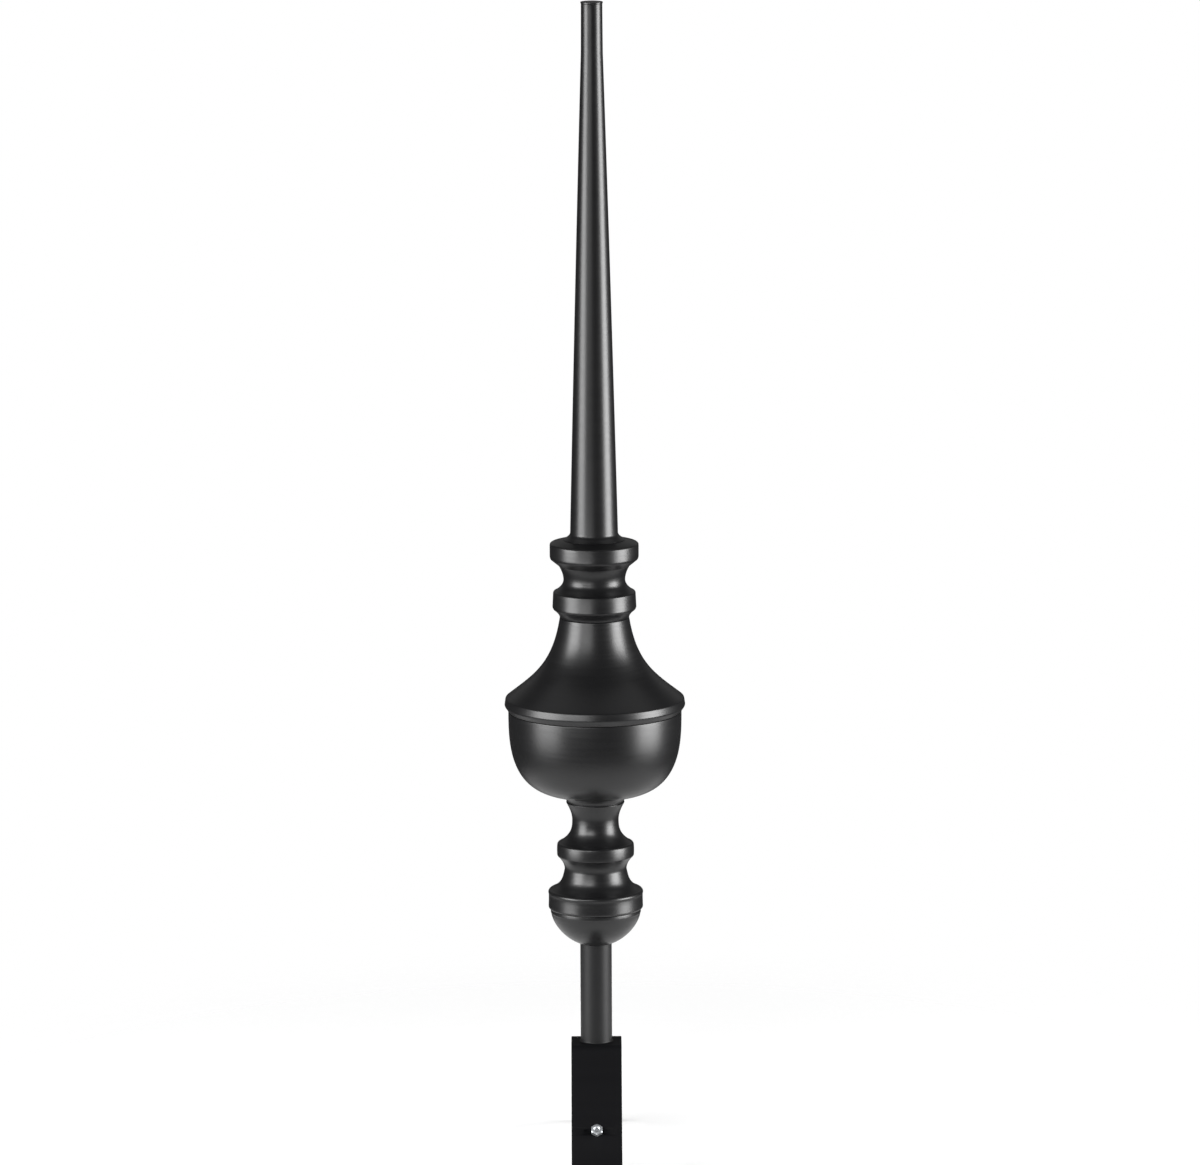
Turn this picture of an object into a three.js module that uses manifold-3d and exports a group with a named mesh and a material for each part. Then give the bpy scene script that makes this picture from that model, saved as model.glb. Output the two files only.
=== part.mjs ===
// Roof finial: a satin-black ornament of spun and turned metal pieces, stacked on one upright axis.
// It stands on a short round mast, and the mast's foot is welded to a strap saddle that straddles a roof ridge.
// Millimetres, +Z up, X along the ridge, -Y towards the front. The origin is the middle of the crown's
// flat underside, where the saddle bears on the ridge.
import * as THREE from "three";
import { mergeVertices } from "three/addons/utils/BufferGeometryUtils.js";
import Module from "manifold-3d";

const wasm = await Module();
wasm.setup();

// Mast: round bar between the saddle and the base cup
const MAST_RADIUS = 15.9;
const MAST_SHOWING = 99.2;
const MAST_SOCKET_DEPTH = 30;
const MAST_END_CHAMFER = 1;
const WELD_LEG = 1.5;

// Saddle: a flat strap, bent down on both sides of a flat crown that is as deep as the mast's weld
const STRAP_WIDTH = 50.8;
const STRAP_THICKNESS = 5;
const CROWN_DEPTH = 2 * (MAST_RADIUS + WELD_LEG);
const BEND_INNER_RADIUS = 7;
const ROOF_PITCH_DEG = 45;
const LEG_LENGTH = 160;
const SCREW_FROM_BEND = 95;

// Lag screws: hexagonal head with a dimple, plain shank, pointed tip
const HEAD_ACROSS_FLATS = 11.1;
const HEAD_HEIGHT = 4.6;
const HEAD_CHAMFER = 0.8;
const DIMPLE_RADIUS = 3.2;
const DIMPLE_DEPTH = 0.8;
const DIMPLE_WALL_WIDTH = 1.1;
const SHANK_RADIUS = 3.2;
const SHANK_LENGTH = 48;
const TIP_LENGTH = 9;

// Base cup: a round bottom under a short upright lip
const CUP_RADIUS = 45.1;
const CUP_DEPTH = 35.1;
const CUP_LIP_OVERHANG = 0.4;
const CUP_LIP_HEIGHT = 3.9;

// Baluster: wide ring, lower cove to the waist, bead, upper cove to the neck, flare with a thin lip
const RING_OVERHANG = 2.55;
const RING_HEIGHT = 19.5;
const RING_TOP_FLARE = 0.25;
const RING_HOLLOW = 0.25;
const RING_HOLLOW_HEIGHT = 14.3;
const RING_TOP_ROUND = 2.9;
const RING_BOTTOM_ROUND = 1.9;
const RING_TO_WAIST = 20.9;
const WAIST_RADIUS = 31.2;
const WAIST_TO_BEAD = 13.2;
const BEAD_RADIUS = 38.9;
const BEAD_BARREL = 0.25;
const BEAD_HEIGHT = 14.4;
const BEAD_TOP_ROUND = 2.7;
const BEAD_BOTTOM_CHAMFER = 1;
const BEAD_TO_NECK = 23.6;
const NECK_RADIUS = 23.4;
const NECK_TO_LIP = 17.4;
const NECK_FLARE = 6;
const NECK_LIP_HEIGHT = 0.7;

// Bowl: narrow spigot with a flare, a full round bottom, and a wall that is widest at its open edge
const SPIGOT_INSET = 0.3;
const SPIGOT_HEIGHT = 1;
const BOWL_FOOT_FLARE = 4;
const BOWL_RADIUS = 87.1;
const BOWL_DEPTH = 87.2;
const BOWL_HEIGHT = 93;

// Bell: steep at the top, sweeping out to an upright band, and a sloping underside that meets the bowl
const BELL_TOP_RADIUS = 34.85;
const BELL_HEIGHT = 95.2;
const BELL_TOP_LEAN_DEG = 8.7;
const BELL_TOP_LEAD = 48.3;
const BELL_SKIRT_SLOPE_DEG = 37.9;
const BELL_SKIRT_LEAD = 34.5;
const RIM_OVERHANG = 3.7;
const RIM_FOOT_INSET = 0.2;
const RIM_SLOPE_HEIGHT = 5;
const RIM_EDGE_ROUND = 0.45;
const RIM_EDGE_HEIGHT = 1.4;
const RIM_ROUND = 2.6;
const RIM_BAND_HEIGHT = 5.3;
const RIM_BAND_LEAN = 0.8;

// Collar: foot as wide as the bell's top, lower ring, cove, upper ring with a sloping top
const LOWER_RING_UNDERCUT = 8.2;
const LOWER_RING_HEIGHT = 18.3;
const LOWER_RING_RADIUS = 41.4;
const LOWER_RING_FLARE = 0.7;
const LOWER_RING_ROUND = 1.9;
const LOWER_RING_TO_COVE = 12.1;
const COVE_RADIUS = 30.95;
const COVE_TO_UPPER_RING = 14;
const COVE_UPPER_FLARE = 4.7;
const UPPER_RING_UNDERCUT = 6.7;
const UPPER_RING_HEIGHT = 16.3;
const UPPER_RING_RADIUS = 44.6;
const UPPER_RING_TOP_ROUND = 2;
const TOP_SLOPE_RISE = 3;
const TOP_SLOPE_CLEARANCE = 0.3;
const UPPER_RING_BOTTOM_CHAMFER = 0.7;
const UPPER_RING_CHAMFER_HEIGHT = 2.3;

// Spire: long taper with a slight swell, then a nearly straight tip with a thin lip
const SPIRE_BASE_RADIUS = 23.95;
const SPIRE_HEIGHT = 539.6;
const SPIRE_SWELL = 0.4;
const SPIRE_FOOT_FLARE = 7;
const SPIRE_FLARE_HEIGHT = 7.3;
const TIP_STRETCH_HEIGHT = 50.3;
const TIP_STRETCH_RADIUS = 10.9;
const TIP_RADIUS = 10.6;
const TIP_LIP_HEIGHT = 1.7;
const TIP_LIP_OVERHANG = 0.5;

// How each cove opens out along the axis: the power of the way gone, and the share that leans straight
const RING_COVE = { power: 4, lean: 0.33, steps: 6 };
const WAIST_COVE = { power: 2, lean: 0, steps: 4 };
const NECK_COVE = { power: 2.9, lean: 0, steps: 6 };
const NECK_FLARE_COVE = { power: 1.75, lean: 0, steps: 5 };
const BOWL_FOOT_COVE = { power: 1.45, lean: 0, steps: 3 };
const SPIRE_FLARE_COVE = { power: 2, lean: 0, steps: 4 };
const UNDERCUT_COVE = { power: 1.75, lean: 0, steps: 4 };
const LOWER_COVE = { power: 2.2, lean: 0, steps: 5 };
const UPPER_COVE = { power: 1.8, lean: 0, steps: 3 };

// How full the bowl and the cup are: the powers of the radius and of the drop below the widest level
const BOWL_ROUND = { side: 3.65, drop: 2.85 };
const CUP_ROUND = { side: 2.04, drop: 1.55 };

// Gap kept between pieces that touch, and how finely round forms are cut
const SEAM = 0.3;
const TURNED_SEGMENTS = 32;
const SCREW_SEGMENTS = 12;
const ARC_STEP_DEG = 30;
const BEND_STEP_DEG = 9;
const SPIRE_STEPS = 9;
const BELL_STEPS = 12;
const BOWL_STEPS = 10;
const CUP_STEPS = 9;
const MERGE_DISTANCE = 1e-3;

const rad = THREE.MathUtils.degToRad;
const lerp = THREE.MathUtils.lerp;

// An arc of a profile about a centre, between two angles measured up from the horizontal.
function arc([r, z], radius, fromDeg, toDeg, stepDeg = ARC_STEP_DEG) {
  const steps = Math.max(2, Math.ceil(Math.abs(toDeg - fromDeg) / stepDeg));
  return Array.from({ length: steps + 1 }, (_, i) => {
    const angle = rad(lerp(fromDeg, toDeg, i / steps));
    return [r + radius * Math.cos(angle), z + radius * Math.sin(angle)];
  });
}

// A cove from its waist out to an edge: partly a straight lean, partly a power of the way along the axis.
function cove(waist, edge, { power, lean = 0, steps }) {
  return Array.from({ length: steps + 1 }, (_, i) => {
    const way = i / steps;
    const opening = lean * way + (1 - lean) * way ** power;
    return [lerp(waist[0], edge[0], opening), lerp(waist[1], edge[1], way)];
  });
}

// A round bottom from a start radius out to the widest level, as rows of radius and height. The radius over
// the widest one, to its power, and the drop over the depth, to its own power, add up to one.
function roundBottom(start, radius, depth, { side, drop }, steps, widestZ) {
  const startAngle = Math.acos((start / radius) ** (side / 2));
  return Array.from({ length: steps + 1 }, (_, i) => {
    const angle = startAngle * (1 - i / steps);
    return [radius * Math.cos(angle) ** (2 / side), widestZ - depth * Math.sin(angle) ** (2 / drop)];
  });
}

// A solid of revolution about Z. The profile lists [radius, height] from the axis below to the axis above.
function turned(profile, segments = TURNED_SEGMENTS) {
  const points = profile.map(([r, z]) => new THREE.Vector2(Math.max(r, 0), z));
  return new THREE.LatheGeometry(points, segments).rotateX(Math.PI / 2);
}

// Three's geometry as a solid that can be cut and joined.
function toSolid(geometry) {
  const bare = geometry.clone();
  bare.deleteAttribute("normal");
  bare.deleteAttribute("uv");
  const merged = mergeVertices(bare, MERGE_DISTANCE);
  return new wasm.Manifold(
    new wasm.Mesh({
      numProp: 3,
      vertProperties: merged.attributes.position.array,
      triVerts: new Uint32Array(merged.index.array),
    }),
  );
}

// A solid back as flat-shaded three.js geometry.
function toGeometry(solid) {
  const mesh = solid.getMesh();
  const geometry = new THREE.BufferGeometry();
  geometry.setAttribute("position", new THREE.BufferAttribute(mesh.vertProperties, 3));
  geometry.setIndex(new THREE.BufferAttribute(mesh.triVerts, 1));
  geometry.computeVertexNormals();
  return geometry;
}

// Heights of the stack, from the saddle's seat up
const CROWN_TOP = STRAP_THICKNESS;
const CUP_FOOT = CROWN_TOP + MAST_SHOWING;
const CUP_HEIGHT = CUP_DEPTH + CUP_LIP_HEIGHT;
const BALUSTER_FOOT = CUP_FOOT + CUP_HEIGHT + SEAM;
const BALUSTER_HEIGHT =
  RING_HEIGHT +
  RING_TO_WAIST +
  WAIST_TO_BEAD +
  BEAD_HEIGHT +
  BEAD_TO_NECK +
  NECK_TO_LIP +
  NECK_LIP_HEIGHT;
const BOWL_FOOT = BALUSTER_FOOT + BALUSTER_HEIGHT + SEAM;
const BELL_FOOT = BOWL_FOOT + BOWL_HEIGHT + SEAM;
const COLLAR_FOOT = BELL_FOOT + BELL_HEIGHT + SEAM;
const COLLAR_HEIGHT =
  LOWER_RING_UNDERCUT +
  LOWER_RING_HEIGHT +
  LOWER_RING_TO_COVE +
  COVE_TO_UPPER_RING +
  UPPER_RING_UNDERCUT +
  UPPER_RING_HEIGHT +
  TOP_SLOPE_RISE;
const SPIRE_FOOT = COLLAR_FOOT + COLLAR_HEIGHT + SEAM;

// Widths that two pieces share
const NECK_LIP_RADIUS = NECK_RADIUS + NECK_FLARE;
const SOCKET_RADIUS = MAST_RADIUS + SEAM;
const SPIRE_FOOT_RADIUS = SPIRE_BASE_RADIUS + SPIRE_FOOT_FLARE;

// Spire, from its flared foot on the collar to the lipped tip.
function spire() {
  const taper = SPIRE_HEIGHT - TIP_STRETCH_HEIGHT;
  const lipZ = SPIRE_HEIGHT - TIP_LIP_HEIGHT;
  const lipRadius = TIP_RADIUS + TIP_LIP_OVERHANG;
  const side = Array.from({ length: SPIRE_STEPS + 1 }, (_, i) => {
    const way = i / SPIRE_STEPS;
    const swell = 4 * SPIRE_SWELL * way * (1 - way);
    return [
      lerp(SPIRE_BASE_RADIUS, TIP_STRETCH_RADIUS, way) + swell,
      lerp(SPIRE_FLARE_HEIGHT, taper, way),
    ];
  });
  return turned([
    [0, 0],
    ...cove(side[0], [SPIRE_FOOT_RADIUS, 0], SPIRE_FLARE_COVE).reverse().slice(0, -1),
    ...side,
    [TIP_RADIUS, lipZ],
    [lipRadius, lipZ],
    [lipRadius, SPIRE_HEIGHT],
    [0, SPIRE_HEIGHT],
  ]);
}

// Collar: undercut foot on the bell, lower ring, cove, upper ring and its sloping top.
function collar() {
  const lowerEdge = LOWER_RING_RADIUS + LOWER_RING_FLARE;
  const lowerFoot = [lowerEdge - LOWER_RING_ROUND / 2, LOWER_RING_UNDERCUT];
  const lowerTop = LOWER_RING_UNDERCUT + LOWER_RING_HEIGHT;
  const lowerCorner = LOWER_RING_RADIUS - LOWER_RING_ROUND;
  const coveZ = lowerTop + LOWER_RING_TO_COVE;
  const flareTop = [COVE_RADIUS + COVE_UPPER_FLARE, coveZ + COVE_TO_UPPER_RING];
  const upperFoot = flareTop[1] + UPPER_RING_UNDERCUT;
  const shoulder = [
    UPPER_RING_RADIUS - UPPER_RING_TOP_ROUND,
    COLLAR_HEIGHT - TOP_SLOPE_RISE - UPPER_RING_TOP_ROUND,
  ];
  return turned([
    [0, 0],
    ...cove([BELL_TOP_RADIUS, 0], lowerFoot, UNDERCUT_COVE),
    [lowerEdge, LOWER_RING_UNDERCUT + LOWER_RING_ROUND],
    ...arc([lowerCorner, lowerTop - LOWER_RING_ROUND], LOWER_RING_ROUND, 0, 90).slice(0, -1),
    ...cove([COVE_RADIUS, coveZ], [lowerCorner, lowerTop], LOWER_COVE).reverse(),
    ...cove([COVE_RADIUS, coveZ], flareTop, UPPER_COVE).slice(1, -1),
    flareTop,
    [UPPER_RING_RADIUS - UPPER_RING_BOTTOM_CHAMFER, upperFoot],
    [UPPER_RING_RADIUS, upperFoot + UPPER_RING_CHAMFER_HEIGHT],
    ...arc(shoulder, UPPER_RING_TOP_ROUND, 0, 90),
    [SPIRE_FOOT_RADIUS + TOP_SLOPE_CLEARANCE, COLLAR_HEIGHT],
    [0, COLLAR_HEIGHT],
  ]);
}

// Bell: from the rim's sloping underside up its band and the swept skirt to the narrow top.
function bell() {
  const edge = BOWL_RADIUS + RIM_OVERHANG;
  const bandZ = RIM_SLOPE_HEIGHT + RIM_EDGE_HEIGHT;
  const shoulder = [edge - RIM_BAND_LEAN - RIM_ROUND, bandZ + RIM_BAND_HEIGHT];
  const rim = [
    [BOWL_RADIUS - RIM_FOOT_INSET, 0],
    [edge - RIM_EDGE_ROUND, RIM_SLOPE_HEIGHT],
    [edge, bandZ],
    ...arc(shoulder, RIM_ROUND, 0, 90 - BELL_SKIRT_SLOPE_DEG),
  ];
  const [skirtR, skirtZ] = rim[rim.length - 1];
  const slope = rad(BELL_SKIRT_SLOPE_DEG);
  const lean = rad(BELL_TOP_LEAN_DEG);
  const sweep = new THREE.CubicBezierCurve(
    new THREE.Vector2(skirtR, skirtZ),
    new THREE.Vector2(skirtR - BELL_SKIRT_LEAD * Math.cos(slope), skirtZ + BELL_SKIRT_LEAD * Math.sin(slope)),
    new THREE.Vector2(
      BELL_TOP_RADIUS + BELL_TOP_LEAD * Math.sin(lean),
      BELL_HEIGHT - BELL_TOP_LEAD * Math.cos(lean),
    ),
    new THREE.Vector2(BELL_TOP_RADIUS, BELL_HEIGHT),
  );
  const side = sweep.getPoints(BELL_STEPS).map((p) => [p.x, p.y]);
  return turned([[0, 0], ...rim.slice(0, -1), ...side, [0, BELL_HEIGHT]]);
}

// Bowl: spigot on the baluster's lip, its flare, then the round bottom up to the open edge.
function bowl() {
  const spigot = NECK_LIP_RADIUS - SPIGOT_INSET;
  const side = roundBottom(
    spigot + BOWL_FOOT_FLARE, BOWL_RADIUS, BOWL_DEPTH, BOWL_ROUND, BOWL_STEPS, BOWL_HEIGHT,
  );
  return turned([
    [0, 0],
    [spigot, 0],
    ...cove([spigot, SPIGOT_HEIGHT], side[0], BOWL_FOOT_COVE).slice(0, -1),
    ...side,
    [0, BOWL_HEIGHT],
  ]);
}

// Baluster: wide ring, lower cove to the waist, bead, upper cove, flared neck and its lip.
function baluster() {
  const ringRadius = CUP_RADIUS + RING_OVERHANG;
  const ringShoulder = ringRadius + RING_TOP_FLARE - RING_TOP_ROUND;
  const ringFoot = ringRadius - RING_BOTTOM_ROUND;
  const waist = [WAIST_RADIUS, RING_HEIGHT + RING_TO_WAIST];
  const beadZ = waist[1] + WAIST_TO_BEAD;
  const beadTop = beadZ + BEAD_HEIGHT;
  const beadEdge = BEAD_RADIUS - BEAD_BARREL;
  const beadCorner = beadEdge - BEAD_TOP_ROUND;
  const neck = [NECK_RADIUS, beadTop + BEAD_TO_NECK];
  const flareTop = [NECK_LIP_RADIUS, neck[1] + NECK_TO_LIP];
  return turned([
    [0, 0],
    ...arc([ringFoot, RING_BOTTOM_ROUND], RING_BOTTOM_ROUND, -90, 0),
    [ringRadius - RING_HOLLOW, RING_HOLLOW_HEIGHT],
    ...arc([ringShoulder, RING_HEIGHT - RING_TOP_ROUND], RING_TOP_ROUND, 0, 90).slice(0, -1),
    ...cove(waist, [ringShoulder, RING_HEIGHT], RING_COVE).reverse(),
    ...cove(waist, [beadEdge - BEAD_BOTTOM_CHAMFER, beadZ], WAIST_COVE).slice(1),
    [beadEdge, beadZ + BEAD_BOTTOM_CHAMFER],
    [BEAD_RADIUS, beadZ + BEAD_HEIGHT / 2],
    ...arc([beadCorner, beadTop - BEAD_TOP_ROUND], BEAD_TOP_ROUND, 0, 90).slice(0, -1),
    ...cove(neck, [beadCorner, beadTop], NECK_COVE).reverse(),
    ...cove(neck, flareTop, NECK_FLARE_COVE).slice(1),
    [NECK_LIP_RADIUS, BALUSTER_HEIGHT],
    [0, BALUSTER_HEIGHT],
  ]);
}

// The cup's outside, from the socket's mouth out to the lip's foot.
function cupSide() {
  return roundBottom(SOCKET_RADIUS, CUP_RADIUS, CUP_DEPTH, CUP_ROUND, CUP_STEPS, CUP_DEPTH);
}

// Base cup: its round bottom with a blind socket for the mast, and the upright lip.
function baseCup() {
  const side = cupSide();
  const lip = CUP_RADIUS + CUP_LIP_OVERHANG;
  const ceiling = side[0][1] + MAST_SOCKET_DEPTH;
  return turned([
    [0, ceiling],
    [SOCKET_RADIUS, ceiling],
    ...side,
    [lip, CUP_DEPTH],
    [lip, CUP_HEIGHT],
    [0, CUP_HEIGHT],
  ]);
}

// Mast: a weld round its foot, a chamfer on the end in the socket.
function mast() {
  const foot = CROWN_TOP + SEAM;
  const top = CUP_FOOT + cupSide()[0][1] + MAST_SOCKET_DEPTH - SEAM;
  return turned([
    [0, foot],
    [MAST_RADIUS + WELD_LEG, foot],
    [MAST_RADIUS, foot + WELD_LEG],
    [MAST_RADIUS, top - MAST_END_CHAMFER],
    [MAST_RADIUS - MAST_END_CHAMFER, top],
    [0, top],
  ]);
}

// A frame at the screw: origin on the front leg's outer face, Z straight out of it.
function screwFrame(mirrored) {
  const pitch = rad(ROOF_PITCH_DEG);
  const outer = BEND_INNER_RADIUS + STRAP_THICKNESS;
  const y = -CROWN_DEPTH / 2 - outer * Math.sin(pitch) - SCREW_FROM_BEND * Math.cos(pitch);
  const z = CROWN_TOP - outer * (1 - Math.cos(pitch)) - SCREW_FROM_BEND * Math.sin(pitch);
  const frame = new THREE.Matrix4().makeRotationX(pitch).setPosition(0, y, z);
  return mirrored ? new THREE.Matrix4().makeRotationZ(Math.PI).multiply(frame) : frame;
}

// Saddle: the strap's side outline, drawn out to its width, with a hole for each screw.
function saddle() {
  const pitch = rad(ROOF_PITCH_DEG);
  const bendCentre = [CROWN_DEPTH / 2, -BEND_INNER_RADIUS];
  const legDeg = 90 - ROOF_PITCH_DEG;
  const outer = arc(bendCentre, BEND_INNER_RADIUS + STRAP_THICKNESS, 90, legDeg, BEND_STEP_DEG);
  const inner = arc(bendCentre, BEND_INNER_RADIUS, legDeg, 90, BEND_STEP_DEG);
  const legEnd = ([y, z]) => [y + LEG_LENGTH * Math.cos(pitch), z - LEG_LENGTH * Math.sin(pitch)];
  const right = [...outer, legEnd(outer[outer.length - 1]), legEnd(inner[0]), ...inner];
  const left = right.map(([y, z]) => [-y, z]).reverse();
  const outline = new THREE.Shape([...right, ...left].map(([y, z]) => new THREE.Vector2(y, z)));
  const strap = new THREE.ExtrudeGeometry(outline, { depth: STRAP_WIDTH, bevelEnabled: false, steps: 1 });
  strap.translate(0, 0, -STRAP_WIDTH / 2);
  const acrossRidge = new THREE.Vector3(0, 1, 0);
  const upwards = new THREE.Vector3(0, 0, 1);
  const alongRidge = new THREE.Vector3(1, 0, 0);
  strap.applyMatrix4(new THREE.Matrix4().makeBasis(acrossRidge, upwards, alongRidge));
  const holeRadius = SHANK_RADIUS + SEAM;
  const drillLength = 4 * STRAP_THICKNESS;
  const drill = new THREE.CylinderGeometry(holeRadius, holeRadius, drillLength, SCREW_SEGMENTS);
  drill.rotateX(Math.PI / 2);
  const bored = [false, true].reduce(
    (solid, mirrored) => solid.subtract(toSolid(drill.clone().applyMatrix4(screwFrame(mirrored)))),
    toSolid(strap),
  );
  return toGeometry(bored);
}

// Lag screw along Z, its head a seam above the origin: hexagonal head, dimple, shank, point.
function lagScrew() {
  const flat = HEAD_ACROSS_FLATS / 2;
  const cornerRadius = flat / Math.cos(Math.PI / 6);
  const top = SEAM + HEAD_HEIGHT;
  const middle = SEAM + HEAD_HEIGHT / 2;
  const hexagon = new THREE.CylinderGeometry(cornerRadius, cornerRadius, HEAD_HEIGHT, 6)
    .rotateX(Math.PI / 2)
    .rotateZ(Math.PI / 3)
    .translate(0, 0, middle);
  const dressing = turned(
    [
      [0, 0],
      [2 * cornerRadius, 0],
      [2 * cornerRadius, top - HEAD_CHAMFER],
      [cornerRadius, top - HEAD_CHAMFER],
      [flat - HEAD_CHAMFER, top],
      [DIMPLE_RADIUS, top],
      [DIMPLE_RADIUS - DIMPLE_WALL_WIDTH, top - DIMPLE_DEPTH],
      [0, top - DIMPLE_DEPTH],
    ],
    2 * SCREW_SEGMENTS,
  );
  const shank = turned(
    [
      [0, -SHANK_LENGTH],
      [SHANK_RADIUS, TIP_LENGTH - SHANK_LENGTH],
      [SHANK_RADIUS, middle],
      [0, middle],
    ],
    SCREW_SEGMENTS,
  );
  return toGeometry(toSolid(hexagon).intersect(toSolid(dressing)).add(toSolid(shank)));
}

// Finishes: satin black on the spun and turned pieces, a flatter black on the strap, bright zinc on the screws
const satinBlack = { color: 0x17181a, roughness: 0.32, metalness: 0.1 };
const strapBlack = { color: 0x151516, roughness: 0.6, metalness: 0.05 };
const zincPlate = { color: 0xb9bcc0, roughness: 0.35, metalness: 0.9 };

const finial = new THREE.Group();

// One named piece with its own material, added to the finial at a height on the axis.
function addPiece(name, geometry, finish, height = 0) {
  const mesh = new THREE.Mesh(geometry, new THREE.MeshStandardMaterial(finish));
  mesh.name = name;
  mesh.position.z = height;
  finial.add(mesh);
  return mesh;
}

addPiece("saddle", saddle(), strapBlack);
addPiece("mast", mast(), satinBlack);
addPiece("base_cup", baseCup(), satinBlack, CUP_FOOT);
addPiece("baluster", baluster(), satinBlack, BALUSTER_FOOT);
addPiece("bowl", bowl(), satinBlack, BOWL_FOOT);
addPiece("bell", bell(), satinBlack, BELL_FOOT);
addPiece("collar", collar(), satinBlack, COLLAR_FOOT);
addPiece("spire", spire(), satinBlack, SPIRE_FOOT);
for (const [name, mirrored] of [["lag_screw_front", false], ["lag_screw_back", true]]) {
  const screw = addPiece(name, lagScrew(), zincPlate);
  screwFrame(mirrored).decompose(screw.position, screw.quaternion, screw.scale);
}

export default finial;
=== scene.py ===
"""Dresses the roof finial: turned surfaces, coats, plating, a pale floor, soft lights and a camera."""
import logging
import math
from dataclasses import dataclass, field
from enum import Enum
from typing import Callable, Iterable, Sequence

import bpy
import numpy as np
from mathutils import Matrix, Vector


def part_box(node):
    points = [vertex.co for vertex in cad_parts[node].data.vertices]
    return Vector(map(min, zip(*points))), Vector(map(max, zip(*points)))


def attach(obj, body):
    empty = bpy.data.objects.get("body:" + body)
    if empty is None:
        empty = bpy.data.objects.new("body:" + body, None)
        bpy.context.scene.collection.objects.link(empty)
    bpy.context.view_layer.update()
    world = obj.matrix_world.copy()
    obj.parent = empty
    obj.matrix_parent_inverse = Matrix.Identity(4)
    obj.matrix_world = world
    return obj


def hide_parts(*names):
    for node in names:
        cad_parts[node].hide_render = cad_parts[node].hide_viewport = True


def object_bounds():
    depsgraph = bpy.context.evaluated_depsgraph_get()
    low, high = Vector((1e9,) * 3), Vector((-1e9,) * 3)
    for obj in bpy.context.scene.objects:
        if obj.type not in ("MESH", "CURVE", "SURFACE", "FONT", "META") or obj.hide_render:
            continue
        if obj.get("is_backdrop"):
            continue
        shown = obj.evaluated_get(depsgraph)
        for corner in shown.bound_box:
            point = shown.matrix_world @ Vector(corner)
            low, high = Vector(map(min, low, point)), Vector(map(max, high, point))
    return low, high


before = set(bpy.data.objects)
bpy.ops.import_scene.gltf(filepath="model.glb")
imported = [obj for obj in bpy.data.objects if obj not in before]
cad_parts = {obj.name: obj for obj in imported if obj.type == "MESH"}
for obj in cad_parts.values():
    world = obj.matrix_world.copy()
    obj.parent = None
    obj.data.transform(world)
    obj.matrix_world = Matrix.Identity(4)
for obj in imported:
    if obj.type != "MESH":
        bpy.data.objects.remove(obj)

log = logging.getLogger("roof_finial")
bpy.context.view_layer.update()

MM = 0.001
BODY = "root"

# How finely the turned pieces are cut, in steps round the axis and millimetres along the profile
ROUND_STEPS = 192
FINE_STEP_MM = 0.1
WIDEST_STEP_MM = 9.0
TURN_PER_STEP_DEG = 6.0

# How far the rounding of a corner reaches, in spreads of its bell curve
EASE_REACH = 3

WHITE = (1.0, 1.0, 1.0, 1.0)

# A change of radius in millimetres, worked out from angle, radius and height
Ripple = Callable[[np.ndarray, np.ndarray, np.ndarray], np.ndarray]


class Slot(Enum):
    """The record's material slots."""

    SATIN_BLACK = "satin_black"
    STRAP_BLACK = "strap_black"
    ZINC_PLATE = "zinc_plate"


# Colour and shader nodes


def linear(hex_colour: str) -> tuple[float, float, float, float]:
    """Turns an sRGB hex colour into linear light.

    Each channel c is c / 12.92 below 0.04045, and ((c + 0.055) / 1.055) to the power 2.4 above it.

    Args:
        hex_colour: six hex digits, such as "17181a".

    Returns:
        Red, green, blue and alpha.
    """
    full, knee, slope, lift, power = 255, 0.04045, 12.92, 0.055, 2.4
    share = np.array([int(hex_colour[i:i + 2], 16) for i in (0, 2, 4)]) / full
    light = np.where(share <= knee, share / slope, ((share + lift) / (1 + lift)) ** power)
    return (*map(float, light), 1.0)


def add_node(
    tree: bpy.types.NodeTree, kind: str, settings: dict | None = None, **inputs: object
) -> bpy.types.Node:
    """Adds a node, sets its properties and sockets, and links what comes from other nodes.

    Args:
        tree: the node tree.
        kind: the node's type, such as "ShaderNodeBump".
        settings: property names and values.
        **inputs: socket names with spaces as underscores. A socket value is linked, any other is set.

    Returns:
        The new node.
    """
    node = tree.nodes.new(kind)
    for name, value in (settings or {}).items():
        setattr(node, name, value)
    for name, value in inputs.items():
        socket = node.inputs[int(name[1:])] if name[1:].isdigit() else node.inputs[name.replace("_", " ")]
        if isinstance(value, bpy.types.NodeSocket):
            tree.links.new(value, socket)
        else:
            socket.default_value = value
    return node


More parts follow.
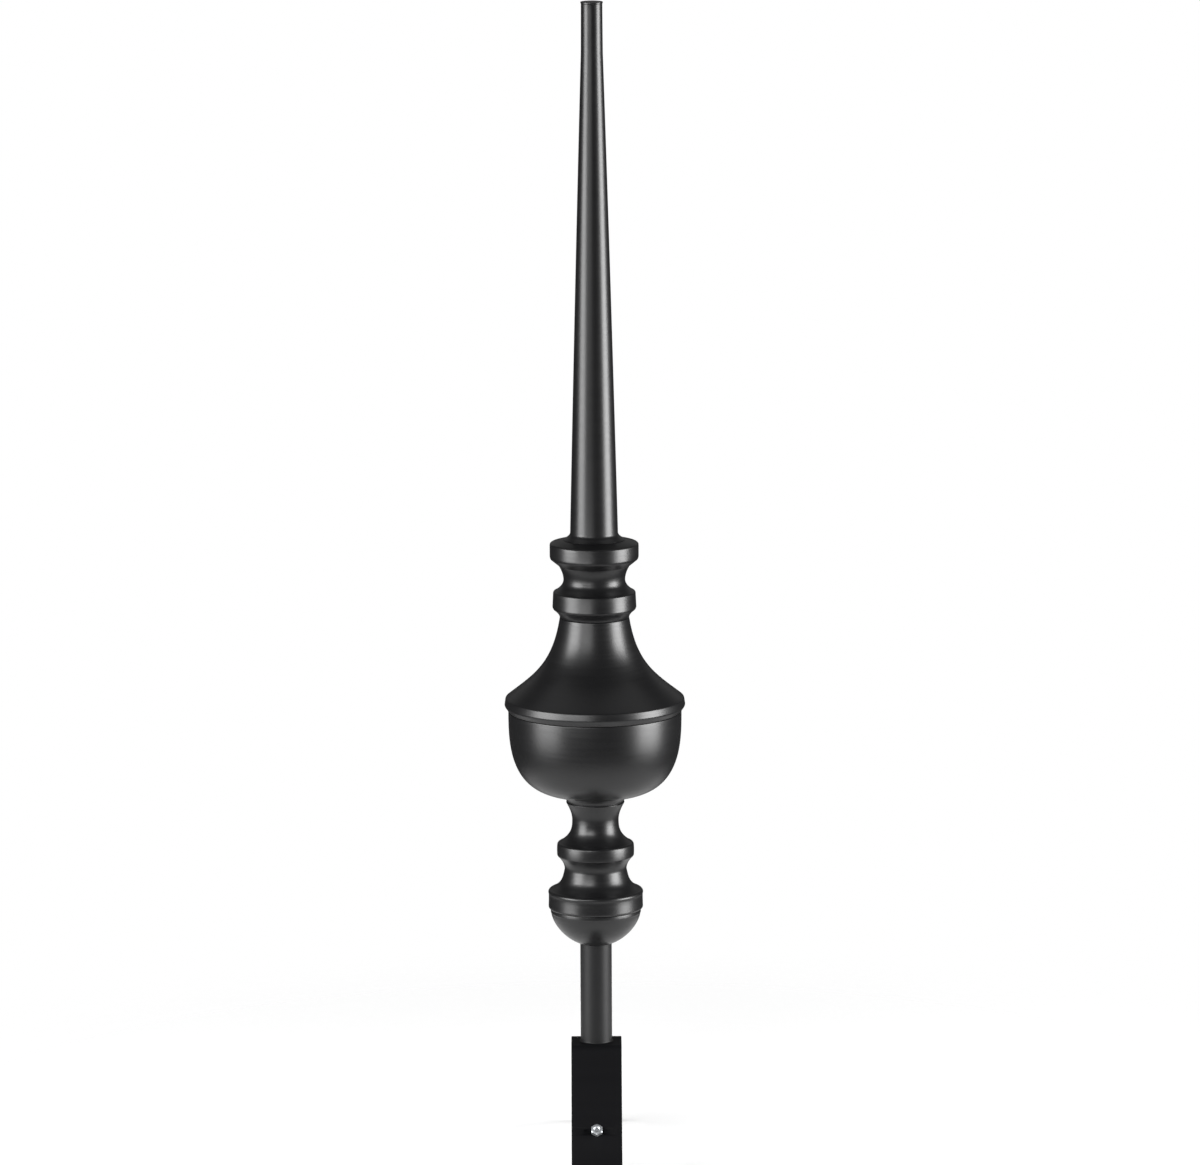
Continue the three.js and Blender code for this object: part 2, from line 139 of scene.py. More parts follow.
@dataclass(frozen=True)
class Coat:
    """A black coat on metal: its colour, gloss, orange peel, and the tool lines that show through it.

    Sizes are in millimetres. The lines run level, as turning leaves them. On bar and strap they are so broad
    and shallow that they only make the coat uneven.
    """

    name: str
    colour: str
    mottle: str
    roughness: float
    roughness_spread: float
    ior: float
    sheen_level: float
    peel_mm: float
    peel_depth_mm: float
    line_mm: float
    line_depth_mm: float
    line_stretch: float = 40.0
    peel_detail: float = 2.0
    line_detail: float = 3.0
    noise_low: float = 0.3
    noise_high: float = 0.7

    def build(self) -> bpy.types.Material:
        """Makes the material.

        Two noises give the surface: one even in all directions for the coat's orange peel, and one squeezed
        along Z, so that it draws lines round the piece. Both feed the bump, and the lines vary the gloss.

        Returns:
            The material.
        """
        material, tree, place = blank_material(self.name)
        peel = add_node(
            tree, "ShaderNodeTexNoise", Vector=place, Scale=1 / (self.peel_mm * MM), Detail=self.peel_detail,
        )
        around = 1 / (self.line_stretch * self.line_mm * MM)
        upwards = 1 / (self.line_mm * MM)
        squeezed = add_node(tree, "ShaderNodeMapping", Vector=place, Scale=(around, around, upwards))
        lines = add_node(
            tree, "ShaderNodeTexNoise", Vector=squeezed.outputs[0], Scale=1.0, Detail=self.line_detail,
        )
        gloss = add_node(
            tree, "ShaderNodeMapRange", Value=lines.outputs[0],
            From_Min=self.noise_low, From_Max=self.noise_high,
            To_Min=self.roughness - self.roughness_spread, To_Max=self.roughness + self.roughness_spread,
        )
        tint = add_node(
            tree, "ShaderNodeMix", {"data_type": "RGBA"},
            _0=peel.outputs[0], _6=linear(self.colour), _7=linear(self.mottle),
        )
        fine = add_node(tree, "ShaderNodeBump", Height=peel.outputs[0], Distance=self.peel_depth_mm * MM)
        ringed = add_node(
            tree, "ShaderNodeBump", Height=lines.outputs[0], Distance=self.line_depth_mm * MM,
            Normal=fine.outputs[0],
        )
        shader = add_node(
            tree, "ShaderNodeBsdfPrincipled", Base_Color=tint.outputs[2], Roughness=gloss.outputs[0],
            IOR=self.ior, Specular_IOR_Level=self.sheen_level, Normal=ringed.outputs[0],
        )
        add_node(tree, "ShaderNodeOutputMaterial", Surface=shader.outputs[0])
        return material


@dataclass(frozen=True)
class Plating:
    """Bright zinc plating over steel: a fine crystalline mottle, with dull patches where it is thin."""

    name: str
    colour: str
    dull: str
    roughness: float
    grain_mm: float
    grain_detail: float = 4.0
    grain_depth_mm: float = 0.02
    smoother: float = 0.06
    rougher: float = 0.1

    def build(self) -> bpy.types.Material:
        """Makes the material, whose tint and gloss both follow one noise of the plating's grain.

        Returns:
            The material.
        """
        material, tree, place = blank_material(self.name)
        grain = add_node(
            tree, "ShaderNodeTexNoise", Vector=place, Scale=1 / (self.grain_mm * MM),
            Detail=self.grain_detail,
        )
        tint = add_node(
            tree, "ShaderNodeMix", {"data_type": "RGBA"},
            _0=grain.outputs[0], _6=linear(self.colour), _7=linear(self.dull),
        )
        gloss = add_node(
            tree, "ShaderNodeMapRange", Value=grain.outputs[0],
            To_Min=self.roughness - self.smoother, To_Max=self.roughness + self.rougher,
        )
        relief = add_node(
            tree, "ShaderNodeBump", Height=grain.outputs[0], Distance=self.grain_depth_mm * MM,
        )
        shader = add_node(
            tree, "ShaderNodeBsdfPrincipled", Base_Color=tint.outputs[2], Metallic=1.0,
            Roughness=gloss.outputs[0], Normal=relief.outputs[0],
        )
        add_node(tree, "ShaderNodeOutputMaterial", Surface=shader.outputs[0])
        return material


def blank_material(name: str) -> tuple[bpy.types.Material, bpy.types.NodeTree, bpy.types.NodeSocket]:
    """Starts a node material.

    Args:
        name: the material's name.

    Returns:
        The material, its empty tree, and the socket of Object coordinates, in metres.
    """
    material = bpy.data.materials.new(name)
    material.use_nodes = True
    material.node_tree.nodes.clear()
    place = add_node(material.node_tree, "ShaderNodeTexCoord").outputs["Object"]
    return material, material.node_tree, place


# Satin black powder coat on spun aluminium: near black, with a soft sheen that shows a light as one band
# The peel has its real size. Tool lines are really under 1 mm apart, and are drawn at 1.6 mm to show
SATIN_COAT = Coat(
    "Satin black powder coat on spun aluminium", "0d0d0e", "101011",
    roughness=0.34, roughness_spread=0.03, ior=1.5, sheen_level=0.5,
    peel_mm=1.1, peel_depth_mm=0.006, line_mm=1.6, line_depth_mm=0.012,
)

# Black enamel on cold-drawn steel bar: the same black with a broader, weaker sheen
BAR_ENAMEL = Coat(
    "Black enamel on drawn steel bar", "101011", "141415",
    roughness=0.5, roughness_spread=0.03, ior=1.5, sheen_level=0.28,
    peel_mm=0.8, peel_depth_mm=0.01, line_mm=6.0, line_depth_mm=0.004,
)

# Flat black paint on hot-rolled steel strap: even and nearly without sheen
STRAP_PAINT = Coat(
    "Flat black paint on rolled steel strap", "08080a", "0d0d0f",
    roughness=0.58, roughness_spread=0.05, ior=1.45, sheen_level=0.13,
    peel_mm=0.9, peel_depth_mm=0.03, line_mm=9.0, line_depth_mm=0.01,
)

# Bright zinc plating on cold-headed steel: a pale silver with a slight blue, dulled in patches
# Its crystals are too fine to see, so the mottle is drawn at 0.7 mm
ZINC = Plating("Bright zinc plate on headed steel", "d2d5d8", "abaeb2", roughness=0.45, grain_mm=0.7)


# Outlines and surfaces


def arc(
    centre: Sequence[float], radius: float, start_deg: float, end_deg: float, steps: int = 24
) -> np.ndarray:
    """An arc of an outline: the centre plus the radius times (cosine, sine) of an angle that goes evenly."""
    angle = np.radians(np.linspace(start_deg, end_deg, steps + 1))
    return np.column_stack([centre[0] + radius * np.cos(angle), centre[1] + radius * np.sin(angle)])


def cove(
    waist: Sequence[float], edge: Sequence[float], power: float, lean: float = 0.0, steps: int = 60
) -> np.ndarray:
    """A cove from its waist out to an edge.

    With t the share of the way along the axis, the radius opens by lean times t plus (1 - lean) times t to
    the power.

    Args:
        waist: radius and height where the cove is narrowest.
        edge: radius and height where it ends.
        power: how sharply it opens.
        lean: the share that opens evenly.
        steps: how many stretches the curve has.

    Returns:
        Rows of radius and height, from the waist to the edge.
    """
    t = np.linspace(0, 1, steps + 1)
    opening = lean * t + (1 - lean) * t ** power
    return np.column_stack([
        waist[0] + (edge[0] - waist[0]) * opening,
        waist[1] + (edge[1] - waist[1]) * t,
    ])


def round_bottom(
    start: float, radius: float, depth: float, side_power: float, drop_power: float, widest: float,
    steps: int = 160,
) -> np.ndarray:
    """A round bottom from a start radius out to the widest level.

    The radius over the widest one, to the side power, and the drop below the widest level over the depth, to
    the drop power, add up to one. With angle a that means radius R cos(a)^(2/side), drop D sin(a)^(2/drop).

    Args:
        start: the radius where the curve starts.
        radius: the widest radius.
        depth: the drop from the widest level to where the curve would meet the axis.
        side_power: how full the side is.
        drop_power: how full the bottom is.
        widest: the height of the widest level.
        steps: how many stretches the curve has.

    Returns:
        Rows of radius and height, going up.
    """
    angle = np.linspace(math.acos((start / radius) ** (side_power / 2)), 0, steps + 1)
    return np.column_stack([
        radius * np.cos(angle) ** (2 / side_power),
        widest - depth * np.sin(angle) ** (2 / drop_power),
    ])


def bezier(points: Sequence[Sequence[float]], steps: int = 120) -> np.ndarray:
    """A cubic curve over four points: their sum, weighted by (1-t)^3, 3t(1-t)^2, 3t^2(1-t) and t^3.

    Args:
        points: the start, two points that the curve heads for and comes from, and the end.
        steps: how many stretches the curve has.

    Returns:
        Rows of radius and height.
    """
    t = np.linspace(0, 1, steps + 1)[:, None]
    a, b, c, d = np.array(points, dtype=float)
    return (1 - t) ** 3 * a + 3 * t * (1 - t) ** 2 * b + 3 * t ** 2 * (1 - t) * c + t ** 3 * d


def along(outline: np.ndarray) -> np.ndarray:
    """The distance gone along an outline at each of its points."""
    return np.concatenate([[0.0], np.cumsum(np.hypot(*np.diff(outline, axis=0).T))])


def read_off(outline: np.ndarray, gone: np.ndarray, at: np.ndarray) -> np.ndarray:
    """An outline's points at new places along it, straight between the old ones."""
    return np.column_stack([np.interp(at, gone, outline[:, k]) for k in (0, 1)])


def evenly(outline: np.ndarray, step: float) -> np.ndarray:
    """Spaces an outline's points evenly.

    Args:
        outline: rows of radius and height.
        step: about how far apart the points come.

    Returns:
        The same line with the new points.
    """
    gone = along(outline)
    return read_off(outline, gone, np.linspace(0, gone[-1], max(2, int(gone[-1] / step))))


def eased(outline: np.ndarray, ease_mm: float) -> np.ndarray:
    """Rounds every corner of an outline as a coat does, and keeps only the points that its bends need.

    Each point becomes the mean of its neighbours along the outline, weighted by a bell curve as wide as the
    ease. The ends stay where they are. Then points are spaced so that each step turns by about the same
    angle, and no step is longer than the widest one.

    Args:
        outline: rows of radius and height.
        ease_mm: the spread of the weights.

    Returns:
        The rounded outline.
    """
    fine = evenly(outline, FINE_STEP_MM)
    reach = int(np.ceil(EASE_REACH * ease_mm / FINE_STEP_MM))
    weight = np.exp(-0.5 * (np.arange(-reach, reach + 1) * FINE_STEP_MM / ease_mm) ** 2)
    weight /= weight.sum()
    start, end = fine[0], fine[-1]
    before = 2 * start - fine[reach:0:-1]
    after = 2 * end - fine[-2:-reach - 2:-1]
    padded = np.vstack([before, fine, after])
    smooth = np.column_stack([np.convolve(padded[:, k], weight, mode="valid") for k in (0, 1)])
    smooth[0], smooth[-1] = start, end
    heading = np.unwrap(np.arctan2(*np.diff(smooth, axis=0).T[::-1]))
    turn = np.abs(np.diff(heading, prepend=heading[0]))
    length = np.hypot(*np.diff(smooth, axis=0).T)
    effort = turn / math.radians(TURN_PER_STEP_DEG) + length / WIDEST_STEP_MM
    gone = np.concatenate([[0.0], np.cumsum(effort)])
    return read_off(smooth, gone, np.linspace(0, gone[-1], int(np.ceil(gone[-1])) + 1))


def new_mesh(
    name: str, vertices: np.ndarray, faces: Iterable[np.ndarray], crease_deg: float
) -> bpy.types.Object:
    """Puts arrays of vertices and faces into a mesh object at the origin.

    Args:
        name: the object's name.
        vertices: one row of x, y, z in metres for each vertex.
        faces: arrays with one face a row, of three or of four vertex numbers.
        crease_deg: edges that bend more than this stay sharp.

    Returns:
        The object, linked into the scene.
    """
    groups = [np.asarray(rows, dtype=np.int32) for rows in faces if len(rows)]
    sizes = np.concatenate([np.full(len(rows), rows.shape[1]) for rows in groups])
    corners = np.concatenate([rows.ravel() for rows in groups])
    mesh = bpy.data.meshes.new(name)
    mesh.vertices.add(len(vertices))
    mesh.vertices.foreach_set("co", np.asarray(vertices, dtype=np.float32).ravel())
    mesh.loops.add(len(corners))
    mesh.loops.foreach_set("vertex_index", corners)
    mesh.polygons.add(len(sizes))
    mesh.polygons.foreach_set("loop_start", np.concatenate([[0], np.cumsum(sizes)[:-1]]).astype(np.int32))
    mesh.polygons.foreach_set("use_smooth", np.ones(len(sizes), dtype=bool))
    mesh.update(calc_edges=True)
    mesh.set_sharp_from_angle(angle=math.radians(crease_deg))
    mesh.validate()
    piece = bpy.data.objects.new(name, mesh)
    bpy.context.scene.collection.objects.link(piece)
    return piece


def grid_faces(rows: int, columns: int) -> np.ndarray:
    """Faces of a grid that is closed round its columns: each vertex, its neighbour and the next row's two.

    Args:
        rows: how many rings of vertices there are.
        columns: how many vertices each ring has.

    Returns:
        One face a row, of four vertex numbers.
    """
    first = np.arange(rows - 1)[:, None] * columns
    here = first + np.arange(columns)
    beside = first + (np.arange(columns) + 1) % columns
    return np.stack([here, beside, beside + columns, here + columns], axis=-1).reshape(-1, 4)


def closed_rings(
    name: str, rings: np.ndarray, ends: np.ndarray, crease_deg: float = 40.0
) -> bpy.types.Object:
    """A closed surface over rings of points, with a point at each end of the axis.

    Args:
        name: the object's name.
        rings: an array of rings by points by x, y, z, in metres, anticlockwise from above and going up.
        ends: the lower and the upper end point, in metres.
        crease_deg: edges that bend more than this stay sharp.

    Returns:
        The object.
    """
    count, columns = rings.shape[:2]
    vertices = np.vstack([rings.reshape(-1, 3), ends])
    low, high = count * columns, count * columns + 1
    ring = np.arange(columns)
    beside = (ring + 1) % columns
    last = (count - 1) * columns
    bottom = np.column_stack([beside, ring, np.full(columns, low)])
    top = np.column_stack([last + ring, last + beside, np.full(columns, high)])
    return new_mesh(name, vertices, [grid_faces(count, columns), bottom, top], crease_deg)


def lathe(
    name: str, outline_mm: np.ndarray, foot_m: float, ripple: Ripple | None = None
) -> bpy.types.Object:
    """Turns an outline round the Z axis.

    A point at angle a is (r cos a, r sin a, z). A ripple, where there is one, is added to the radius.

    Args:
        name: the object's name.
        outline_mm: rows of radius and height above the foot, from the axis below to the axis above.
        foot_m: the height of the outline's zero, in metres.
        ripple: a function of angle and of outline points that gives a change of radius, in millimetres.

    Returns:
        The object.
    """
    angle = np.linspace(0, 2 * np.pi, ROUND_STEPS, endpoint=False)
    inner = outline_mm[1:-1]
    radius = np.repeat(inner[:, :1], ROUND_STEPS, axis=1)
    if ripple is not None:
        radius = radius + ripple(angle[None, :], inner[:, :1], inner[:, 1:])
    height = np.repeat(inner[:, 1:], ROUND_STEPS, axis=1)
    rings = np.stack([radius * np.cos(angle), radius * np.sin(angle), height], axis=-1) * MM
    rings[..., 2] += foot_m
    ends = np.array([[0, 0, outline_mm[0, 1] * MM + foot_m], [0, 0, outline_mm[-1, 1] * MM + foot_m]])
    return closed_rings(name, rings, ends)


def dress(piece: bpy.types.Object, node: str, material: bpy.types.Material) -> None:
    """Gives a piece its material, stands it in for its CAD node, makes it ride, and reports it.

    Args:
        piece: the finished piece.
        node: the CAD node that it stands for.
        material: the finish.
    """
    piece.data.materials.append(material)
    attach(piece, BODY)
    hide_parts(node)
    log.info("%s: %d faces, %s", piece.name, len(piece.data.polygons), material.name)


def turn_piece(
    node: str, name: str, outline: Callable[[float], np.ndarray], ease_mm: float,
    material: bpy.types.Material, ripple: Ripple | None = None,
) -> None:
    """Turns a piece where its CAD node is, with eased corners, and dresses it.

    Args:
        node: the CAD node, whose box gives the foot and the height.
        name: the new piece's name.
        outline: a function of the height that gives rows of radius and height, all in millimetres.
        ease_mm: the spread of the easing.
        material: the finish.
        ripple: a change of radius, as lathe takes it.
    """
    low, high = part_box(node)
    profile = eased(outline((high[2] - low[2]) / MM), ease_mm)
    dress(lathe(name, profile, low[2], ripple), node, material)


# The turned pieces, from the top down, with sizes in millimetres


@dataclass
class Spire:
    """The long tapering tube on top, with a flared foot, a slight swell, a straighter tip and a thin lip."""

    base_radius: float = 23.95
    swell: float = 0.4
    foot_flare: float = 7.0
    flare_height: float = 7.3
    flare_power: float = 2.0
    tip_stretch: float = 50.3
    tip_stretch_radius: float = 10.9
    tip_radius: float = 10.6
    lip_height: float = 1.7
    lip_overhang: float = 0.5
    side_points: int = 120
    ease: float = 0.3

    def outline(self, height: float) -> np.ndarray:
        """The profile from the foot up: a flare, a long side, a straighter tip and a lip.

        The side's radius falls evenly from the base to the tip stretch, plus 4 * swell * t * (1 - t).

        Args:
            height: the spire's height.

        Returns:
            Rows of radius and height, from axis to axis.
        """
        t = np.linspace(0, 1, self.side_points)
        taper_top = height - self.tip_stretch
        fall = self.tip_stretch_radius - self.base_radius
        side = np.column_stack([
            self.base_radius + fall * t + 4 * self.swell * t * (1 - t),
            self.flare_height + (taper_top - self.flare_height) * t,
        ])
        flare = cove(side[0], [self.base_radius + self.foot_flare, 0], self.flare_power)[::-1]
        lip = self.tip_radius + self.lip_overhang
        lip_foot = height - self.lip_height
        rim = np.array([[self.tip_radius, lip_foot], [lip, lip_foot], [lip, height], [0, height]])
        return np.vstack([[[0, 0]], flare, side[1:], rim])

    def build(self, material: bpy.types.Material) -> None:
        """Makes and dresses the spire."""
        turn_piece("spire", "spire_tube", self.outline, self.ease, material)


@dataclass
class Collar:
    """Two turned rings with a cove between them, on a foot as wide as the bell's top."""

    foot_radius: float = 34.85
    undercut: float = 8.2
    undercut_power: float = 1.75
    lower_height: float = 18.3
    lower_radius: float = 41.4
    lower_flare: float = 0.7
    lower_round: float = 1.9
    lower_to_cove: float = 12.1
    lower_cove_power: float = 2.2
    cove_radius: float = 30.95
    cove_to_upper: float = 14.0
    upper_cove_power: float = 1.8
    upper_flare: float = 4.7
    upper_undercut: float = 6.7
    upper_radius: float = 44.6
    upper_top_round: float = 2.0
    slope_rise: float = 3.0
    slope_top_radius: float = 31.25
    upper_chamfer: float = 0.7
    upper_chamfer_height: float = 2.3
    ease: float = 0.45

    def outline(self, height: float) -> np.ndarray:
        """The profile from the foot up: undercut, lower ring, cove, flare, undercut, upper ring and slope.

        Args:
            height: the collar's height.

        Returns:
            Rows of radius and height, from axis to axis.
        """
        edge = self.lower_radius + self.lower_flare
        lower_foot = [edge - self.lower_round / 2, self.undercut]
        lower_top = self.undercut + self.lower_height
        corner = self.lower_radius - self.lower_round
        waist = [self.cove_radius, lower_top + self.lower_to_cove]
        flare_top = [self.cove_radius + self.upper_flare, waist[1] + self.cove_to_upper]
        upper_foot = flare_top[1] + self.upper_undercut
        shoulder = [self.upper_radius - self.upper_top_round, height - self.slope_rise - self.upper_top_round]
        return np.vstack([
            [[0, 0]],
            cove([self.foot_radius, 0], lower_foot, self.undercut_power),
            [[edge, self.undercut + self.lower_round]],
            arc([corner, lower_top - self.lower_round], self.lower_round, 0, 90),
            cove(waist, [corner, lower_top], self.lower_cove_power)[::-1][1:],
            cove(waist, flare_top, self.upper_cove_power)[1:],
            [[self.upper_radius - self.upper_chamfer, upper_foot]],
            [[self.upper_radius, upper_foot + self.upper_chamfer_height]],
            arc(shoulder, self.upper_top_round, 0, 90),
            [[self.slope_top_radius, height], [0, height]],
        ])

    def build(self, material: bpy.types.Material) -> None:
        """Makes and dresses the collar."""
        turn_piece("collar", "collar_rings", self.outline, self.ease, material)


@dataclass
class Bulb:
    """The bell with its banded rim, over the bowl."""

    bell_top_radius: float = 34.85
    top_lean_deg: float = 8.7
    top_lead: float = 48.3
    skirt_slope_deg: float = 37.9
    skirt_lead: float = 34.5
    rim_overhang: float = 3.7
    rim_foot_inset: float = 0.2
    rim_slope_height: float = 5.0
    rim_edge_round: float = 0.45
    rim_edge_height: float = 1.4
    rim_round: float = 2.6
    rim_band: float = 5.3
    rim_lean: float = 0.8
    bowl_radius: float = 87.1
    bowl_depth: float = 87.2
    bowl_side_power: float = 3.65
    bowl_drop_power: float = 2.85
    spigot_radius: float = 29.1
    spigot_height: float = 1.0
    foot_flare: float = 4.0
    foot_power: float = 1.45
    ease: float = 0.35

    def bell_outline(self, height: float) -> np.ndarray:
        """The rim's sloping underside and band, then a cubic sweep up to the narrow top.

        Args:
            height: the bell's height.

        Returns:
            Rows of radius and height, from axis to axis.
        """
        edge = self.bowl_radius + self.rim_overhang
        band_foot = self.rim_slope_height + self.rim_edge_height
        shoulder = [edge - self.rim_lean - self.rim_round, band_foot + self.rim_band]
        underside = [
            [self.bowl_radius - self.rim_foot_inset, 0],
            [edge - self.rim_edge_round, self.rim_slope_height],
            [edge, band_foot],
        ]
        roll = arc(shoulder, self.rim_round, 0, 90 - self.skirt_slope_deg)
        slope, lean = math.radians(self.skirt_slope_deg), math.radians(self.top_lean_deg)
        start = roll[-1]
        sweep = bezier([
            start,
            start + self.skirt_lead * np.array([-math.cos(slope), math.sin(slope)]),
            [self.bell_top_radius + self.top_lead * math.sin(lean), height - self.top_lead * math.cos(lean)],
            [self.bell_top_radius, height],
        ])
        return np.vstack([[[0, 0]], underside, roll, sweep[1:], [[0, height]]])

    def bowl_outline(self, height: float) -> np.ndarray:
        """The spigot and its flare, then the round bottom up to the edge.

        Args:
            height: the bowl's height.

        Returns:
            Rows of radius and height, from axis to axis.
        """
        start = self.spigot_radius + self.foot_flare
        side = round_bottom(
            start, self.bowl_radius, self.bowl_depth, self.bowl_side_power, self.bowl_drop_power, height,
        )
        return np.vstack([
            [[0, 0], [self.spigot_radius, 0]],
            cove([self.spigot_radius, self.spigot_height], side[0], self.foot_power)[:-1],
            side,
            [[0, height]],
        ])

    def build(self, material: bpy.types.Material) -> None:
        """Makes and dresses the bell and the bowl."""
        turn_piece("bell", "bell_shell", self.bell_outline, self.ease, material)
        turn_piece("bowl", "bowl_shell", self.bowl_outline, self.ease, material)


@dataclass
class Pedestal:
    """The baluster, from its wide ring up to its flared neck, and the half-round cup that closes the ring."""

    cup_radius: float = 45.1
    cup_depth: float = 35.1
    cup_side_power: float = 2.04
    cup_drop_power: float = 1.55
    cup_lip_overhang: float = 0.4
    socket_radius: float = 16.2
    socket_depth: float = 30.0
    ring_overhang: float = 2.55
    ring_height: float = 19.5
    ring_top_flare: float = 0.25
    ring_hollow: float = 0.25
    ring_hollow_height: float = 14.3
    ring_hollow_power: float = 2.0
    ring_top_round: float = 2.9
    ring_bottom_round: float = 1.9
    ring_to_waist: float = 20.9
    ring_cove_power: float = 4.0
    ring_cove_lean: float = 0.33
    waist_radius: float = 31.2
    waist_to_bead: float = 13.2
    waist_cove_power: float = 2.0
    bead_radius: float = 38.9
    bead_barrel: float = 0.25
    bead_steps: int = 21
    bead_height: float = 14.4
    bead_top_round: float = 2.7
    bead_bottom_chamfer: float = 1.0
    bead_to_neck: float = 23.6
    neck_cove_power: float = 2.9
    neck_radius: float = 23.4
    neck_to_lip: float = 17.4
    neck_flare: float = 6.0
    neck_flare_power: float = 1.75
    ease: float = 0.45

    def baluster_outline(self, height: float) -> np.ndarray:
        """The profile from the ring's underside up: ring, cove, bead, cove, flare and lip.

        Args:
            height: the baluster's height.

        Returns:
            Rows of radius and height, from axis to axis.
        """
        ring = self.cup_radius + self.ring_overhang
        ring_shoulder = ring + self.ring_top_flare - self.ring_top_round
        ring_foot = ring - self.ring_bottom_round
        ring_side = cove(
            [ring - self.ring_hollow, self.ring_hollow_height],
            [ring, self.ring_bottom_round], self.ring_hollow_power,
        )[::-1]
        ring_top = [ring_shoulder, self.ring_height]
        waist = [self.waist_radius, self.ring_height + self.ring_to_waist]
        bead_foot = waist[1] + self.waist_to_bead
        bead_top = bead_foot + self.bead_height
        bead_edge = self.bead_radius - self.bead_barrel
        corner = bead_edge - self.bead_top_round
        way = np.linspace(-1, 1, self.bead_steps)
        level = np.linspace(
            bead_foot + self.bead_bottom_chamfer, bead_top - self.bead_top_round, self.bead_steps,
        )
        barrel = np.column_stack([self.bead_radius - self.bead_barrel * way ** 2, level])
        neck = [self.neck_radius, bead_top + self.bead_to_neck]
        flare_top = [self.neck_radius + self.neck_flare, neck[1] + self.neck_to_lip]
        return np.vstack([
            [[0, 0]],
            arc([ring_foot, self.ring_bottom_round], self.ring_bottom_round, -90, 0),
            ring_side[1:],
            arc([ring_shoulder, self.ring_height - self.ring_top_round], self.ring_top_round, 0, 90),
            cove(waist, ring_top, self.ring_cove_power, self.ring_cove_lean)[::-1][1:],
            cove(waist, [bead_edge - self.bead_bottom_chamfer, bead_foot], self.waist_cove_power)[1:],
            barrel,
            arc([corner, bead_top - self.bead_top_round], self.bead_top_round, 0, 90)[1:],
            cove(neck, [corner, bead_top], self.neck_cove_power)[::-1][1:],
            cove(neck, flare_top, self.neck_flare_power)[1:],
            [[flare_top[0], height], [0, height]],
        ])

    def cup_outline(self, height: float) -> np.ndarray:
        """The socket's ceiling and wall, the round bottom, then the upright lip.

        Args:
            height: from the socket's mouth to the top of the lip.

        Returns:
            Rows of radius and height above the socket's mouth.
        """
        side = round_bottom(
            self.socket_radius, self.cup_radius, self.cup_depth,
            self.cup_side_power, self.cup_drop_power, widest=0.0,
        )
        side[:, 1] -= side[0, 1]
        lip = self.cup_radius + self.cup_lip_overhang
        return np.vstack([
            [[0, self.socket_depth], [self.socket_radius, self.socket_depth]],
            side,
            [[lip, side[-1, 1]], [lip, height], [0, height]],
        ])

    def build(self, material: bpy.types.Material) -> None:
        """Makes and dresses the baluster and the cup."""
        turn_piece("baluster", "baluster_turning", self.baluster_outline, self.ease, material)
        turn_piece("base_cup", "cup_shell", self.cup_outline, self.ease, material)


# The roof mount, with sizes in millimetres


@dataclass
class Mast:
    """The round bar in the cup's socket, with a weld bead round its foot."""

    radius: float = 15.9
    end_chamfer: float = 1.0
    weld_leg: float = 1.5
    weld_beads: int = 44
    weld_ripple: float = 0.16
    ease: float = 0.2

    def outline(self, height: float) -> np.ndarray:
        """The bar with a concave weld at its foot, a quarter arc of the weld's leg.

        Args:
            height: the mast's height.

        Returns:
            Rows of radius and height, from axis to axis.
        """
        return np.vstack([
            [[0, 0]],
            arc([self.radius + self.weld_leg, self.weld_leg], self.weld_leg, 270, 180),
            [[self.radius, height - self.end_chamfer]],
            [[self.radius - self.end_chamfer, height], [0, height]],
        ])

    def weld(self, angle: np.ndarray, radius: np.ndarray, height: np.ndarray) -> np.ndarray:
        """The beads of the weld: the depth times the size of sin(n a / 2), fading out above the weld's leg.

        Args:
            angle: the angle round the axis, in radians.
            radius: the radius of each point of the outline.
            height: its height.

        Returns:
            What is added to the radius.
        """
        beads = np.abs(np.sin(self.weld_beads * angle / 2))
        fade = np.clip(1 - height / self.weld_leg, 0, 1) * (radius > self.radius)
        return -self.weld_ripple * beads * fade

    def build(self, material: bpy.types.Material) -> None:
        """Makes and dresses the mast."""
        turn_piece("mast", "mast_bar", self.outline, self.ease, material, self.weld)


